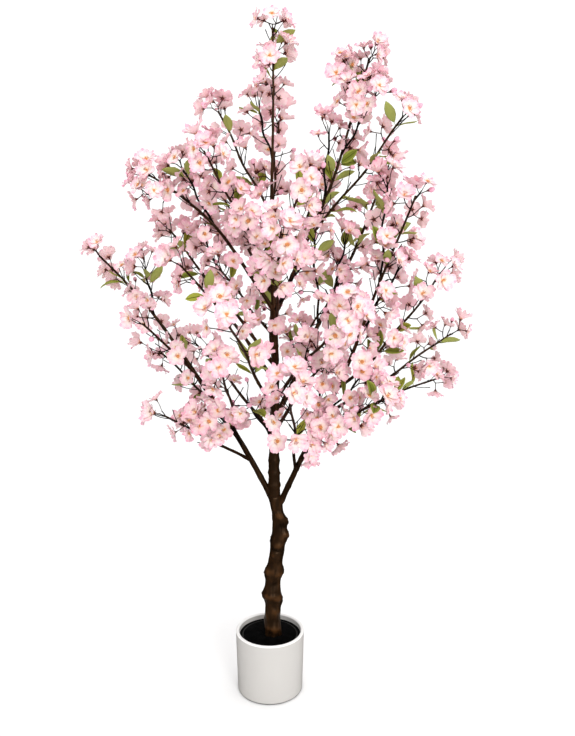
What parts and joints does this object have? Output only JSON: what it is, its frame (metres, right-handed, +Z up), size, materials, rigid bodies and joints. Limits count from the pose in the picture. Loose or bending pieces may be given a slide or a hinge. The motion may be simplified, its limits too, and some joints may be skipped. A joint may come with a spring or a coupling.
{
  "type": "artificial cherry blossom tree in pot",
  "caption": "Artificial cherry tree in pink blossom, with a knotted brown trunk that forks into thin boughs, standing in a plain round white pot.",
  "frame": {"origin": "centre of the pot's flat underside", "axes": "+Z up along the pot's axis, -Y towards the front of the tree, +X to the right seen from the front"},
  "size_m": [1.0399, 0.8598, 1.8394],
  "materials": {
    "white_glaze": "gloss",
    "black_filler": "matte",
    "brown_trunk": "satin",
    "brown_bough": "satin",
    "pink_blossom": "matte"
  },
  "bodies": {
    "root": {"pot": "white_glaze", "filler": "black_filler", "trunk": "brown_trunk", "leader": "brown_bough", "bough_left": "brown_bough", "bough_right": "brown_bough", "bough_left_low": "brown_bough", "bough_left_inner": "brown_bough", "bough_left_mid": "brown_bough", "bough_right_front": "brown_bough", "bough_right_low": "brown_bough", "bough_right_side": "brown_bough", "bough_right_rear": "brown_bough", "bough_right_upper": "brown_bough", "bough_high_right": "brown_bough", "bough_crest": "brown_bough", "bough_front_left": "brown_bough", "bough_back_left": "brown_bough", "bough_high_left": "brown_bough", "bough_front_low": "brown_bough", "bough_front_high": "brown_bough", "bough_front_right": "brown_bough", "bough_rear_left": "brown_bough", "bough_rear_right": "brown_bough", "bough_rear_mid": "brown_bough", "bough_rear_high_left": "brown_bough", "bough_rear_high_right": "brown_bough", "blossom_leader": "pink_blossom", "blossom_left": "pink_blossom", "blossom_right": "pink_blossom", "blossom_left_low": "pink_blossom", "blossom_left_inner": "pink_blossom", "blossom_left_mid": "pink_blossom", "blossom_left_rear": "pink_blossom", "blossom_right_front": "pink_blossom", "blossom_right_low": "pink_blossom", "blossom_right_side": "pink_blossom", "blossom_right_rear": "pink_blossom", "blossom_right_upper": "pink_blossom", "blossom_high_right": "pink_blossom", "blossom_crest": "pink_blossom", "blossom_crest_side": "pink_blossom", "blossom_front_left": "pink_blossom", "blossom_back_left": "pink_blossom", "blossom_high_left": "pink_blossom", "blossom_upper_front": "pink_blossom", "blossom_top_left": "pink_blossom", "blossom_inner_right": "pink_blossom", "blossom_inner_left": "pink_blossom", "blossom_near_right": "pink_blossom", "blossom_front_low": "pink_blossom", "blossom_front_high": "pink_blossom", "blossom_front_right": "pink_blossom", "blossom_rear_left": "pink_blossom", "blossom_rear_right": "pink_blossom", "blossom_rear_mid": "pink_blossom", "blossom_rear_high_left": "pink_blossom", "blossom_rear_high_right": "pink_blossom", "blossom_rear_top": "pink_blossom"}
  },
  "joints": []
}
